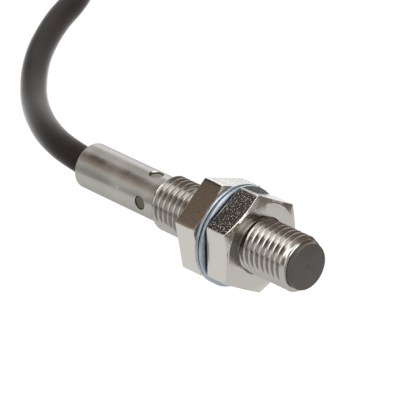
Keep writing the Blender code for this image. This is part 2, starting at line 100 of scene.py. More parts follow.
def surface(name, grid, closed_rows=False, caps=(False, False), smooth=40.0):
    """A mesh from grid[row, column] points whose columns run round the piece and meet.

    closed_rows joins the last row to the first, as on a ring. caps closes the first and last row
    to a middle point.
    """
    rows, columns = grid.shape[:2]
    points = grid.reshape(-1, 3)
    row, column = grid_places(rows if closed_rows else rows - 1, columns)
    following = (row + 1) % rows
    beside = (column + 1) % columns
    faces = [np.stack([row * columns + column, row * columns + beside,
                       following * columns + beside, following * columns + column], axis=1)]
    triangles = []
    for wanted, ring, flip in ((caps[0], 0, True), (caps[1], rows - 1, False)):
        if wanted:
            middle = len(points)
            points = np.vstack([points, grid[ring].mean(axis=0)])
            first = ring * columns + np.arange(columns)
            second = ring * columns + (np.arange(columns) + 1) % columns
            pair = (second, first) if flip else (first, second)
            triangles.append(np.stack([pair[0], pair[1], np.full(columns, middle)], axis=1))
    return mesh_from_arrays(name, points, faces, triangles, smooth)


def mesh_from_arrays(name, points, quads, triangles, smooth):
    """Fills a mesh from whole arrays, merges repeated points and turns its faces outwards."""
    quads = np.vstack(quads) if quads else np.zeros((0, 4), int)
    triangles = np.vstack(triangles) if triangles else np.zeros((0, 3), int)
    corners = np.concatenate([quads.ravel(), triangles.ravel()]).astype(np.int32)
    starts = np.concatenate([np.arange(len(quads)) * 4,
                             len(quads) * 4 + np.arange(len(triangles)) * 3]).astype(np.int32)
    mesh = bpy.data.meshes.new(name)
    mesh.vertices.add(len(points))
    mesh.vertices.foreach_set("co", np.asarray(points, np.float32).ravel())
    mesh.loops.add(len(corners))
    mesh.loops.foreach_set("vertex_index", corners)
    mesh.polygons.add(len(starts))
    mesh.polygons.foreach_set("loop_start", starts)
    mesh.update(calc_edges=True)
    work = bmesh.new()
    work.from_mesh(mesh)
    bmesh.ops.remove_doubles(work, verts=work.verts, dist=1e-7)
    bmesh.ops.recalc_face_normals(work, faces=work.faces)
    work.to_mesh(mesh)
    work.free()
    mesh.shade_smooth()
    mesh.set_sharp_from_angle(angle=math.radians(smooth))
    obj = bpy.data.objects.new(name, mesh)
    bpy.context.scene.collection.objects.link(obj)
    return obj


def even_angles(count, start=0.0):
    """count angles in radians, evenly spaced round a full turn."""
    return start + np.arange(count) * 2 * np.pi / count


def about_x(x, radius, angles):
    """Points round the X axis: x and radius are rows, or rows by columns, and angles are columns."""
    x, radius = np.asarray(x, float), np.asarray(radius, float)
    if x.ndim == 1:
        x = x[:, None]
    if radius.ndim == 1:
        radius = radius[:, None]
    shape = np.broadcast_shapes(x.shape, radius.shape, angles.shape)
    return np.stack([np.broadcast_to(x, shape), radius * np.cos(angles),
                     radius * np.sin(angles)], axis=-1)


def rounded(corners, steps=4):
    """An outline of (x, radius, fillet) corners with each fillet as an arc.

    Each arc touches both sides at fillet from its corner, or at 0.45 of the side where that is nearer,
    and its points are read from the quadratic curve that has the corner as its middle control point.
    """
    outline = []
    count = len(corners)
    for i, (x, r, fillet) in enumerate(corners):
        here = np.array([x, r])
        if fillet <= 0:
            outline.append(here)
            continue
        before = np.array(corners[i - 1][:2])
        after = np.array(corners[(i + 1) % count][:2])
        start = here + (before - here) * min(fillet / np.linalg.norm(before - here), 0.45)
        end = here + (after - here) * min(fillet / np.linalg.norm(after - here), 0.45)
        t = np.linspace(0, 1, steps + 1)[:, None]
        outline.extend((1 - t) ** 2 * start + 2 * t * (1 - t) * here + t ** 2 * end)
    return np.array(outline)


def turned(name, corners, columns=96, steps=4, smooth=40.0):
    """A closed outline of (x, radius, fillet) corners in millimetres, turned about X."""
    outline = rounded(corners, steps) * MM
    return surface(name, about_x(outline[:, 0], outline[:, 1], even_angles(columns)),
                   closed_rows=True, smooth=smooth)


# %% [markdown]
# ## The lead's route
#
# The lead is one length of round PVC cable, 2 m from the sensor to its stripped end. Near the
# sensor it leaves straight, sinks to the surface and lies there in one loose bend. The spare
# length is wound into a neat coil, held by a tie. The route is one line of points: the free
# run's own points, then a formula that works out 13.3 turns in four layers, then a short tail.

# %% The route as one line of points
CORD_RADIUS = 2.05
CORD_START = -37.4
CORD_SPACING = 2.6
HOUSING_REAR = -43.4
SURFACE_Z = -7.55
LYING_GAP = 0.02
LIE_Z = SURFACE_Z + CORD_RADIUS + LYING_GAP
SPAN_POINTS = 24
FREE_RUN = [
    (-43.7, 0.0, 0.0), (-47.1, 0.5, -0.1), (-51.5, 1.75, -0.53), (-56.0, 3.75, -1.22),
    (-60.7, 6.4, -2.15), (-65.4, 9.5, -3.2), (-70.0, 12.8, -4.25), (-74.5, 16.3, -5.0),
    (-78.8, 20.0, -5.42), (-82.8, 23.85, -5.48), (-86.4, 27.8, -5.48), (-89.6, 31.9, -5.48),
    (-92.4, 35.9, -5.48), (-94.8, 39.8, -5.48), (-97.1, 44.1, -5.48), (-100.6, 49.3, -5.48),
    (-105.1, 53.7, -5.48), (-110.2, 57.2, -5.48), (-115.7, 59.8, -5.46), (-121.7, 61.5, -5.35),
    (-128.4, 62.0, -5.2),
]
COIL_CENTRE = np.array([-143.9, 33.9])
COIL_MID_RADIUS = 21.6
LAYER_RISE = 3.63
COIL_LIFT = 0.8
ENTRY_ANGLE = math.radians(91.3)
END_ANGLE = math.radians(200)
TURNS = 13 + (END_ANGLE - ENTRY_ANGLE) / (2 * math.pi)
POINTS_A_TURN = 48
STEP_START = 0.78
CLIMB_START = 0.5
STEP_SHARE = 0.2
TAIL_DROP_START = 22.0
TAIL_DROP_LENGTH = 34.0
TAIL_LENGTH = 60.0
TAIL_BEND_RADIUS = 48.0


def ease(t):
    """A smooth step from 0 to 1."""
    t = np.clip(t, 0, 1)
    return t * t * (3 - 2 * t)


def through(points):
    """A smooth curve through points: each span is the Catmull-Rom cubic of its four neighbours."""
    knots = np.array(points, float)
    lead_in = 3 * knots[0] - 3 * knots[1] + knots[2]
    lead_out = 3 * knots[-1] - 3 * knots[-2] + knots[-3]
    padded = np.vstack([lead_in, knots, lead_out])
    t = (np.arange(SPAN_POINTS) / SPAN_POINTS)[None, :, None]
    p0, p1, p2, p3 = (padded[i:len(padded) - 3 + i, None, :] for i in range(4))
    spans = 0.5 * (2 * p1 + (p2 - p0) * t + (2 * p0 - 5 * p1 + 4 * p2 - p3) * t ** 2
                   + (3 * p1 - p0 - 3 * p2 + p3) * t ** 3)
    return np.vstack([spans.reshape(-1, 3), knots[-1:]])


def evenly(points, spacing):
    """The same line with points the given distance apart."""
    steps = np.linalg.norm(np.diff(points, axis=0), axis=1)
    along = np.concatenate([[0], np.cumsum(steps)])
    count = max(2, int(round(along[-1] / spacing)))
    wanted = np.linspace(0, along[-1], count + 1)
    return np.stack([np.interp(wanted, along, points[:, i]) for i in range(3)], axis=1)


def coil_turns():
    """The coil's line. Turn k keeps radius k, then steps to the next one at the end of the turn.

    Layers of four turns run inwards and layers of three run back outwards in their hollows.
    Each step takes a fifth of a turn. A step within a layer comes at the turn's end, and a step
    up to the next layer comes a little earlier, so that steps don't lie on each other.
    """
    pitch = 2 * CORD_RADIUS
    four = [COIL_MID_RADIUS + pitch * i for i in (1.5, 0.5, -0.5, -1.5)]
    three = [COIL_MID_RADIUS + pitch * i for i in (-1, 0, 1)]
    radii = np.array((four + three) * 2)
    layers = np.array([0] * 4 + [1] * 3 + [2] * 4 + [3] * 3)
    at = np.linspace(0, TURNS, int(TURNS * POINTS_A_TURN))
    turn = np.minimum(at.astype(int), len(radii) - 1)
    following = np.minimum(turn + 1, len(radii) - 1)
    part = at - turn
    climbs = layers[following] > layers[turn]
    step = ease((part - np.where(climbs, CLIMB_START, STEP_START)) / STEP_SHARE)
    radius = radii[turn] + (radii[following] - radii[turn]) * step
    layer = layers[turn] + climbs * step
    angle = ENTRY_ANGLE + 2 * np.pi * at
    z = SURFACE_Z + COIL_LIFT + CORD_RADIUS + layer * LAYER_RISE
    return np.stack([COIL_CENTRE[0] + radius * np.cos(angle),
                     COIL_CENTRE[1] + radius * np.sin(angle), z], axis=1)


def tail_line(start, count=40):
    """The tail leaves the coil along its last turn, bends gently and sinks to the surface."""
    distance = np.linspace(0, TAIL_LENGTH, count)
    heading = END_ANGLE + np.pi / 2
    swing = distance / TAIL_BEND_RADIUS
    x = start[0] + TAIL_BEND_RADIUS * (np.sin(heading + swing) - np.sin(heading))
    y = start[1] + TAIL_BEND_RADIUS * (np.cos(heading) - np.cos(heading + swing))
    sink = ease((distance - TAIL_DROP_START) / TAIL_DROP_LENGTH)
    return np.stack([x, y, start[2] + (LIE_Z - start[2]) * sink], axis=1)


inside = np.array([[CORD_START, 0, 0], [-40.0, 0, 0]])
coil_line = coil_turns()
free_line = through(FREE_RUN)
approach = through([FREE_RUN[-2], FREE_RUN[-1], (free_line[-1] + coil_line[0]) / 2,
                    coil_line[0], coil_line[3]])
approach = approach[SPAN_POINTS:-SPAN_POINTS - 1]
tail = tail_line(coil_line[-1])
route = np.vstack([inside, free_line[:-1], approach, coil_line, tail[1:]])
cord_line = evenly(route, CORD_SPACING)
whole_length = np.linalg.norm(np.diff(cord_line, axis=0), axis=1).sum()
outside_length = whole_length - (CORD_START - HOUSING_REAR)
print("lead outside the housing, mm:", round(float(outside_length), 1), "points:", len(cord_line))

# %% [markdown]
# ## The lead's surface
#
# A tube along a line needs a frame at each point that doesn't spin. The plain way is to carry
# one sideways direction along and take out whatever part of it points forward. The jacket is
# extruded, so its surface is all but even: the ring's radius stays constant and the finish does
# the rest.

# %% Carry a profile along a path


def carried_frames(line):
    """Forward, side and up directions along a line, each side carried on from the one before."""
    forward = np.gradient(line, axis=0)
    forward /= np.linalg.norm(forward, axis=1)[:, None]
    side = np.zeros_like(forward)
    start = np.cross(forward[0], [0.0, 0.0, 1.0])
    side[0] = start / np.linalg.norm(start)
    for i in range(1, len(line)):
        carried = side[i - 1] - forward[i] * np.dot(side[i - 1], forward[i])
        side[i] = carried / np.linalg.norm(carried)
    return forward, side, np.cross(side, forward)


def tube(name, line_mm, radius_mm, sides=20, end_round=0.15):
    """A round tube along a line of millimetre points, with lightly rounded ends."""
    forward, side, up = carried_frames(line_mm)
    angles = even_angles(sides)
    ring = np.cos(angles)[None, :, None] * side[:, None] + np.sin(angles)[None, :, None] * up[:, None]
    body = line_mm[:, None] + ring * radius_mm
    start = line_mm[0] + ring[0] * (radius_mm - end_round)
    end = line_mm[-1] + ring[-1] * (radius_mm - end_round) + forward[-1] * end_round
    body = np.concatenate([start[None], body, end[None]])
    return surface(name, body * MM, caps=(True, True), smooth=50)


cord_piece = tube("lead_jacket", cord_line, CORD_RADIUS, sides=24)
print("jacket faces:", len(cord_piece.data.polygons))

# %% [markdown]
# ## The lead's far end
#
# The maker strips the jacket back and tins the last few millimetres of each conductor, ready
# for a terminal. Three insulated conductors fan out: brown and blue for the supply and black for
# the signal. Each is a thinner tube, and each tinned end is seven strands laid in a helix.

# %% Conductors and tinned ends
CORE_RADIUS = 0.55
STRAND_RADIUS = 0.13
STRAND_SIDES = 8
STRAND_RINGS = 14
STRAND_LAY = 9.0
STRAND_REACH = 2.05 * STRAND_RADIUS
TIP_LENGTH = 5.0
LEAD_FANS = {
    "brown": [(0.3, 0.75), (6.0, 1.6), (14.0, 4.6), (22.0, 5.6), (28.0, 5.0)],
    "blue": [(0.3, 0.0), (8.0, -0.2), (16.0, 0.4), (24.0, 0.0), (31.0, -0.8)],
    "black": [(0.3, -0.75), (6.0, -1.8), (13.0, -4.0), (20.0, -5.4), (26.0, -5.6)],
}
tail_heading = END_ANGLE + math.pi / 2 + TAIL_LENGTH / TAIL_BEND_RADIUS
ALONG = np.array([math.cos(tail_heading), math.sin(tail_heading), 0])
ASIDE = np.array([-math.sin(tail_heading), math.cos(tail_heading), 0])


def lead_line(fan, start_z):
    """A conductor's line: out of the jacket, down to the surface and along it."""
    floor_z = SURFACE_Z + CORE_RADIUS + LYING_GAP
    points = []
    for number, (forward, sideways) in enumerate(fan):
        place = tail[-1] + ALONG * forward + ASIDE * sideways
        place[2] = start_z + (floor_z - start_z) * min(number / 2, 1.0)
        points.append(place)
    line = evenly(through(points), 0.8)
    line[:, 2] = np.maximum(line[:, 2], floor_z)
    return line


def strands(name, start, direction, length):
    """Seven strands: one straight, and six round it in a helix of one turn in 9 mm."""
    forward = direction / np.linalg.norm(direction)
    side = np.cross(forward, [0.0, 0.0, 1.0])
    side /= np.linalg.norm(side)
    up = np.cross(side, forward)
    distance = np.linspace(0, length, STRAND_RINGS)
    ring = even_angles(STRAND_SIDES)
    row, column = grid_places(STRAND_RINGS - 1, STRAND_SIDES)
    beside = (column + 1) % STRAND_SIDES
    near, far = row * STRAND_SIDES, (row + 1) * STRAND_SIDES
    walls = np.stack([near + column, near + beside, far + beside, far + column], axis=1)
    first = np.arange(STRAND_SIDES)
    second = (first + 1) % STRAND_SIDES
    last_ring = (STRAND_RINGS - 1) * STRAND_SIDES
    middle = np.full(STRAND_SIDES, STRAND_RINGS * STRAND_SIDES)
    near_cap = np.stack([second, first, middle], axis=1)
    far_cap = np.stack([last_ring + first, last_ring + second, middle + 1], axis=1)
    quads, caps, points = [], [], []
    for number in range(7):
        lay = 2 * np.pi * (distance / STRAND_LAY + number / 6)
        reach = 0.0 if number == 6 else STRAND_REACH
        line = (start + forward * distance[:, None] + reach * np.cos(lay)[:, None] * side
                + reach * np.sin(lay)[:, None] * up)
        grid = (line[:, None] + STRAND_RADIUS * np.cos(ring)[None, :, None] * side
                + STRAND_RADIUS * np.sin(ring)[None, :, None] * up)
        offset = number * (STRAND_RINGS * STRAND_SIDES + 2)
        quads.append(offset + walls)
        caps += [offset + near_cap, offset + far_cap]
        points.append(np.vstack([grid.reshape(-1, 3), line[:1], line[-1:]]))
    return mesh_from_arrays(name, np.vstack(points) * MM, quads, caps, 50)


leads = {}
tips = {}
for colour, fan in LEAD_FANS.items():
    start_z = tail[-1][2] + (-0.8 if colour == "blue" else 0.5)
    line = lead_line(fan, start_z)
    leads[colour] = tube(colour + "_conductor", line, CORE_RADIUS, sides=14, end_round=0.05)
    tips[colour] = strands(colour + "_tinned_end", line[-1] - (line[-1] - line[-2]) * 0.3,
                           line[-1] - line[-2], TIP_LENGTH)
print("conductors:", list(leads))

# %% [markdown]
# ## The tie
#
# A nylon cable tie is a thin band with fine teeth across it and a box-shaped head that the band
# runs through. The band follows a rounded rectangle round the coil's section.

# %% Tie
TIE_WIDTH = 3.2
TIE_THICKNESS = 0.5
TIE_GAP = 0.2
TIE_EDGE = 0.2
TIE_SHOULDER = 0.7
TIE_ANGLE = math.radians(330)
TIE_HEAD_HALF = (1.2, 2.3, 1.7)
TIE_HEAD_OUT = 1.0
TIE_HEAD_POWER = 2 / 7
# Height as a share of the head's half height, and the section's size there
TIE_HEAD_LEVELS = [(-1.0, 0.88), (-0.9, 0.97), (-0.7, 1.0), (0.7, 1.0), (0.9, 0.97), (1.0, 0.88)]


def placed_on_coil(grid):
    """A grid in metres, from one in millimetres made beside the coil's axis at angle zero."""
    turn = np.array([[math.cos(TIE_ANGLE), -math.sin(TIE_ANGLE), 0],
                     [math.sin(TIE_ANGLE), math.cos(TIE_ANGLE), 0], [0, 0, 1]])
    return (grid @ turn.T + np.array([*COIL_CENTRE, 0])) * MM


def tie_band():
    """The band: a rounded rectangle round the coil's section, carried across its width."""
    inner = COIL_MID_RADIUS - 4 * CORD_RADIUS
    outer = COIL_MID_RADIUS + 4 * CORD_RADIUS
    low = SURFACE_Z + COIL_LIFT
    high = low + 2 * CORD_RADIUS + 3 * LAYER_RISE
    path = []
    for radius, z, start in ((outer, high, 0), (inner, high, 90), (inner, low, 180), (outer, low, 270)):
        centre = np.array([radius + CORD_RADIUS * (1 if radius == inner else -1),
                           z + CORD_RADIUS * (1 if z == low else -1)])
        angles = np.radians(start + np.linspace(0, 90, 9))
        out = np.stack([np.cos(angles), np.sin(angles)], axis=1)
        path.extend(zip(np.repeat(centre[None], 9, axis=0), out))
    centres = np.array([p[0] for p in path])
    outs = np.array([p[1] for p in path])
    half = TIE_WIDTH / 2
    shoulder = TIE_THICKNESS * TIE_SHOULDER
    section = [(0, -half), (shoulder, -half), (TIE_THICKNESS, -half + TIE_EDGE),
               (TIE_THICKNESS, half - TIE_EDGE), (shoulder, half), (0, half)]
    grid = []
    for reach, side in section:
        r = centres + outs * (CORD_RADIUS + TIE_GAP + reach)
        grid.append(np.stack([r[:, 0], np.full(len(r), side), r[:, 1]], axis=1))
    return surface("tie_band", placed_on_coil(np.stack(grid)), closed_rows=True, smooth=35)


def tie_head():
    """The head: a rounded box, as a superellipse section swept down its height."""
    middle_r = COIL_MID_RADIUS + 4 * CORD_RADIUS + TIE_GAP + TIE_THICKNESS + TIE_HEAD_OUT
    middle_z = SURFACE_Z + COIL_LIFT + CORD_RADIUS + 1.5 * LAYER_RISE
    angles = even_angles(40)
    half_x, half_y, half_z = TIE_HEAD_HALF
    section = np.stack([
        half_x * np.sign(np.cos(angles)) * np.abs(np.cos(angles)) ** TIE_HEAD_POWER,
        half_y * np.sign(np.sin(angles)) * np.abs(np.sin(angles)) ** TIE_HEAD_POWER], axis=1)
    grid = np.stack([np.column_stack([section * shrink, np.full(len(section), z * half_z)])
                     for z, shrink in TIE_HEAD_LEVELS])
    grid[..., 0] += middle_r
    grid[..., 2] += middle_z
    return surface("tie_head", placed_on_coil(grid), caps=(True, True), smooth=35)


band = tie_band()
head = tie_head()

for piece in [cord_piece, band, head, *leads.values(), *tips.values()]:
    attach(piece, "root")
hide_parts("cable", "cable_coil", "cable_tail", "cable_inner_end")
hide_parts("cable_tie")
for colour in leads:
    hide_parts(colour + "_lead")
    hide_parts(colour + "_tip")

# %% [markdown]
# ## The threaded housing
#
# The housing is turned from bar: an M8 thread with a 1 mm pitch, then a sleeve turned down
# below the thread's root. A real thread is a helix, and its shine comes from the flanks, so it
# is worth making in full. On the grid each row is one line of the thread's profile. It moves
# forward by one pitch in a full turn, so there it meets the row one pitch further on.

# %% Thread profile
PITCH = 1.0
THREAD_RADIUS = 4.0
THREAD_DEPTH = 0.58
THREAD_CREST = 0.05
THREAD_FLANK = 0.34
THREAD_EASING = 0.35
THREAD_RUNOUT = 0.55
THREAD_CLEARANCE = 0.12
THREAD_REAR = -27.4
THREAD_FRONT = -0.8
SLEEVE_RADIUS = 3.35
BORE_RADIUS = 2.95
ROWS_A_PITCH = 16
SPARE_PITCHES = 3
THREAD_COLUMNS = 120


def thread_height(phase):
    """Share of the thread's depth, 1 on the crest and 0 in the root, at a phase from 0 to 1.

    The flank falls evenly between the crest's and the root's flats, and its two ends are eased
    into short curves, as a rolled or well-worn cutting tool leaves them.
    """
    away = np.abs((phase + 0.5) % 1.0 - 0.5)
    fall = np.clip((away - THREAD_CREST) / THREAD_FLANK, 0, 1)
    return 1 - (fall + THREAD_EASING * (ease(fall) - fall))


def thread_rows(rear, front, angles, ridge, groove, inside=False):
    """Rows of thread points: x and radius for each row and column, faded out at both ends."""
    first = math.floor(rear / PITCH) - SPARE_PITCHES
    last = math.ceil(front / PITCH) + SPARE_PITCHES
    phase = np.arange((last - first) * ROWS_A_PITCH) / ROWS_A_PITCH
    x = PITCH * (first + phase[:, None] + angles[None] / (2 * np.pi))
    radius = groove + (ridge - groove) * thread_height(phase)[:, None] + 0 * angles[None]
    x = np.clip(x, rear, front)
    inset = np.minimum(x - rear, front - x)
    if inside:
        radius = np.maximum(radius, ridge - inset * THREAD_RUNOUT)
    else:
        radius = np.minimum(radius, groove + inset * THREAD_RUNOUT * 2)
    return x, radius


def threaded_piece(name, x, radius, rest, angles, smooth):
    """A closed piece: thread rows, then the rows (x, radius by column) that close the outline."""
    rest_x = np.stack([np.broadcast_to(a, angles.shape) for a, _ in rest])
    rest_r = np.stack([np.broadcast_to(b, angles.shape) for _, b in rest])
    thread_count = len(x)
    x, radius = np.vstack([x, rest_x]), np.vstack([radius, rest_r])
    grid = about_x(x, radius, angles) * MM
    rows, columns = x.shape
    row, column = grid_places(rows, columns)
    following = (row + 1) % rows
    beside = (column + 1) % columns

    def met(r):
        shifted = np.minimum(r + ROWS_A_PITCH, thread_count - 1)
        return np.where((column == columns - 1) & (r < thread_count), shifted, r)

    quads = np.stack([row * columns + column, met(row) * columns + beside,
                      met(following) * columns + beside, following * columns + column], axis=1)
    return mesh_from_arrays(name, grid.reshape(-1, 3), [quads], [], smooth)


# %% Housing
columns = even_angles(THREAD_COLUMNS)
thread_x, thread_r = thread_rows(THREAD_REAR, THREAD_FRONT, columns,
                                 THREAD_RADIUS, THREAD_RADIUS - THREAD_DEPTH)
sleeve_rows = list(rounded([(THREAD_FRONT, BORE_RADIUS, 0), (HOUSING_REAR, BORE_RADIUS, 0.1),
                            (HOUSING_REAR, SLEEVE_RADIUS, 0.3)], steps=5))
for x in np.linspace(HOUSING_REAR + 1.0, THREAD_REAR - 0.2, 24):
    sleeve_rows.append((x, SLEEVE_RADIUS))
sleeve_rows.append((THREAD_REAR, SLEEVE_RADIUS + 0.02))
housing = threaded_piece("plated_housing", thread_x, thread_r, sleeve_rows, columns, 60)
print("housing faces:", len(housing.data.polygons))

# %% [markdown]
# Four holes a quarter turn apart let the indicator lamps show from any side. Each is drilled and
# then lightly deburred, which leaves a bright slanted rim. A cutter with a flared mouth makes
# both at once, and the cut is applied so that the finished mesh stands alone.

# %% Indicator holes
INDICATOR_X = -30.0
INDICATOR_RADIUS = 1.0
INDICATOR_HOLES = 4
# The cutter's rings: distance from the axis, and how much wider than the hole each one is
DRILL_RINGS = np.array([(2.2, 0.0), (3.18, 0.0), (3.34, 0.14), (3.6, 0.4)])


def drill(piece, x, radius):
    """Cuts four deburred holes through a tube at x, one on each side."""
    heights = DRILL_RINGS[:, 0]
    flare = radius + DRILL_RINGS[:, 1]
    ring = even_angles(48)
    for quarter in range(INDICATOR_HOLES):
        turn = quarter * math.pi / 2
        out = np.array([0, math.cos(turn), math.sin(turn)])
        aside = np.array([0, -math.sin(turn), math.cos(turn)])
        grid = (out * heights[:, None, None] + np.array([x, 0, 0])
                + flare[:, None, None] * (np.cos(ring)[None, :, None] * np.array([1.0, 0, 0])
                                          + np.sin(ring)[None, :, None] * aside))
        cutter = surface(f"drill_{quarter}", grid * MM, caps=(True, True))
        cut = piece.modifiers.new("drill", "BOOLEAN")
        cut.operation = "DIFFERENCE"
        cut.solver = "EXACT"
        cut.object = cutter
        apply_modifiers(piece)
        bpy.data.objects.remove(cutter)


def apply_modifiers(piece):
    """Keeps the mesh that the modifiers make, and drops the modifiers."""
    bpy.context.view_layer.update()
    finished = bpy.data.meshes.new_from_object(
        piece.evaluated_get(bpy.context.evaluated_depsgraph_get()))
    piece.modifiers.clear()
    piece.data = finished


drill(housing, INDICATOR_X, INDICATOR_RADIUS)
housing.data.set_sharp_from_angle(angle=math.radians(38))
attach(housing, "root")
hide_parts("housing")
print("housing faces after drilling:", len(housing.data.polygons))

# %% [markdown]
# ## The nuts
#
# A hexagon nut is a slice of hexagon bar. Its front side is chamfered on a lathe, which cuts
# each flat back in a curve. On a polar grid both are formulas: the side's distance from the
# axis is half the width over the cosine of the angle from the flat's middle, and the chamfer
# starts where a 22 degree cone meets that distance. Columns crowd together at the corners so
# that each corner keeps a small true radius.

# %% Nut
NUT_HALF_WIDTH = 6.5
NUT_THICKNESS = 4.0
NUT_FACE_RADIUS = 6.2
NUT_CHAMFER_ANGLE = math.radians(22)
NUT_EDGE = 0.11
NUT_COUNTERSINK = 0.07
NUT_CORNER_RADIUS = 0.12
CORNER_SHARE = 0.155
CORNER_BLEND = 0.04
CORNER_CROWDING = 1.8
SIDE_COLUMNS = 24
NUTS = {"front_nut": (-12.95, 31.4), "rear_nut": (-18.65, 40.9)}


def hexagon_angles(turn):
    """Angles round a hexagon, crowded at its corners, starting at a corner."""
    across = np.linspace(-1, 1, SIDE_COLUMNS + 1)[:-1]
    crowded = np.sign(across) * (1 - (1 - np.abs(across)) ** CORNER_CROWDING)
    one_side = (crowded + 1) / 2 * np.pi / 3
    return turn + np.concatenate([one_side + k * np.pi / 3 for k in range(6)])


def hexagon_radius(angles, turn):
    """Distance from the axis to a hexagon's side, with each corner eased by a small radius.

    A rounded corner stands back from the sharp one by about 0.155 of its radius.
    """
    from_flat = (angles - turn) % (np.pi / 3) - np.pi / 6
    side = NUT_HALF_WIDTH / np.cos(from_flat)
    limit = NUT_HALF_WIDTH / math.cos(math.pi / 6) - NUT_CORNER_RADIUS * CORNER_SHARE
    return side - CORNER_BLEND * np.log1p(np.exp((side - limit) / CORNER_BLEND))


def nut(name, back_x, turn_degrees):
    """A nut from its back face's x and the angle of its first corner, threaded right through."""
    turn = math.radians(turn_degrees)
    angles = hexagon_angles(turn)
    side = hexagon_radius(angles, turn)
    slope = math.tan(NUT_CHAMFER_ANGLE)
    front = back_x + NUT_THICKNESS
    chamfer_x = front - (side - NUT_FACE_RADIUS) * slope
    edge = NUT_EDGE
    bore = THREAD_RADIUS + THREAD_CLEARANCE
    rows = [
        (front, bore + NUT_COUNTERSINK), (front, NUT_FACE_RADIUS - edge), (front - 0.02, NUT_FACE_RADIUS),
        (front - 0.05 - edge * slope, NUT_FACE_RADIUS + edge),
        (chamfer_x + edge * 0.6, side - edge), (chamfer_x + edge * 0.1, side - 0.02),
        (chamfer_x - edge * 0.5, side), (back_x + edge, side), (back_x + edge * 0.3, side - edge * 0.3),
        (back_x, side - edge), (back_x, bore + NUT_COUNTERSINK),
    ]
    groove = THREAD_RADIUS - THREAD_DEPTH + THREAD_CLEARANCE
    thread_x, thread_r = thread_rows(back_x + NUT_COUNTERSINK, front - NUT_COUNTERSINK, angles,
                                     bore, groove, inside=True)
    rows_here = [(x + 0 * angles, r + 0 * angles) for x, r in rows]
    piece = threaded_piece(name + "_hexagon", thread_x, thread_r, rows_here, angles, 28)
    weigh = piece.modifiers.new("weighted_normals", "WEIGHTED_NORMAL")
    weigh.keep_sharp = True
    return piece


nuts = {}
for name, (back_x, turn) in NUTS.items():
    nuts[name] = nut(name, back_x, turn)
    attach(nuts[name], name)
    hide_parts(name)
print("nut faces:", len(nuts["front_nut"].data.polygons))

# %% [markdown]
# ## The lock washers
#
# A lock washer is stamped from spring steel. Its inner edge is cut into teeth, and each tooth
# is twisted so that its corners bite into the nut. A flat ring and a lift that changes across
# each tooth are enough. The stamped rim keeps a small radius on both edges. The hole is wider
# than the barrel, so each washer hangs a little low.

# %% Washer
WASHER_RADIUS = 7.3
WASHER_DROP = 0.25
WASHER_RIM = 5.7
WASHER_TOOTH = 4.4
WASHER_THICKNESS = 0.55
WASHER_TWIST = 0.07
WASHER_TEETH = 8
WASHER_EDGE = 0.14
TOOTH_COLUMNS = 24
TOOTH_EDGE = 0.06
# Places across one tooth's share of the ring, which runs from 0 to 1
TOOTH_START = 0.08
TOOTH_MIDDLE = 0.42
TOOTH_END = 0.76
TOOTH_HALF = 0.34
TOOTH_SIDE = 0.05
WASHERS = {"rear_lock_washer": ("rear_washer", -14.55, 0.0),
           "front_lock_washer": ("front_washer", -13.82, 13.0)}


def washer(name, rear_x, turn_degrees):
    """A toothed ring from its rear face's x: rows run from a tooth's end round the rim and back."""
    angles = even_angles(WASHER_TEETH * TOOTH_COLUMNS, math.radians(turn_degrees))
    place = (np.arange(len(angles)) % TOOTH_COLUMNS) / TOOTH_COLUMNS
    on_tooth = ease((place - TOOTH_START) / TOOTH_SIDE) * ease((TOOTH_END - place) / TOOTH_SIDE)
    inner = WASHER_RIM + (WASHER_TOOTH - WASHER_RIM) * on_tooth
    lift = (place - TOOTH_MIDDLE) / TOOTH_HALF * WASHER_TWIST * on_tooth
    neck = inner + (WASHER_RIM - inner) * 0.5 + 0.1
    edge = WASHER_EDGE
    wide = WASHER_RADIUS
    thick = WASHER_THICKNESS
    flat = 0 * angles
    rows = [
        (lift + TOOTH_EDGE, inner), (lift, inner + TOOTH_EDGE), (lift * 0.6, neck),
        (flat, WASHER_RIM + 0.2 + flat), (flat, wide - edge + flat),
        (edge * 0.35 + flat, wide - edge * 0.3 + flat),
        (edge + flat, wide + flat), (thick - edge + flat, wide + flat),
        (thick - edge * 0.35 + flat, wide - edge * 0.3 + flat), (thick + flat, wide - edge + flat),
        (thick + flat, WASHER_RIM + 0.2 + flat),
        (thick + lift * 0.6, neck), (thick + lift, inner + TOOTH_EDGE),
        (thick + lift - TOOTH_EDGE, inner),
    ]
    x = np.stack([a for a, _ in rows]) + rear_x
    radius = np.stack([b for _, b in rows])
    grid = about_x(x, radius, angles)
    grid[..., 2] -= WASHER_DROP
    return surface(name + "_ring", grid * MM, closed_rows=True, smooth=50)


washers = {}
for name, (body, rear_x, turn) in WASHERS.items():
    washers[name] = washer(name, rear_x, turn)
    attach(washers[name], body)
    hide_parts(name)

# %% [markdown]
# ## The sensing cap
#
# The cap is moulded plastic, pressed into the barrel with its disc standing 0.8 mm proud. Its
# edge has a small radius, and the mould's gate leaves a faint ring with a nub at the middle.

# %% Cap
CAP_RADIUS = 3.35
cap = turned("moulded_cap", [
    (-0.04, 0.0001, 0), (-0.04, 0.16, 0.02), (-0.07, 0.22, 0.02), (-0.07, 0.36, 0.02), (0.0, 0.42, 0.03),
    (0.0, CAP_RADIUS, 0.16), (-0.75, CAP_RADIUS, 0.04), (-0.75, 2.85, 0), (-6.5, 2.85, 0.05),
    (-6.5, 2.6, 0), (-0.9, 2.6, 0), (-0.9, 0.0001, 0)], columns=128, steps=6)
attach(cap, "root")
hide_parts("sensing_cap")

# %% [markdown]
# ## Finishes
#
# Each material starts from what the real surface is. One function turns a printed colour into
# the linear numbers that Blender works in, and one adds a node with its settings and links.

# %% Material helpers


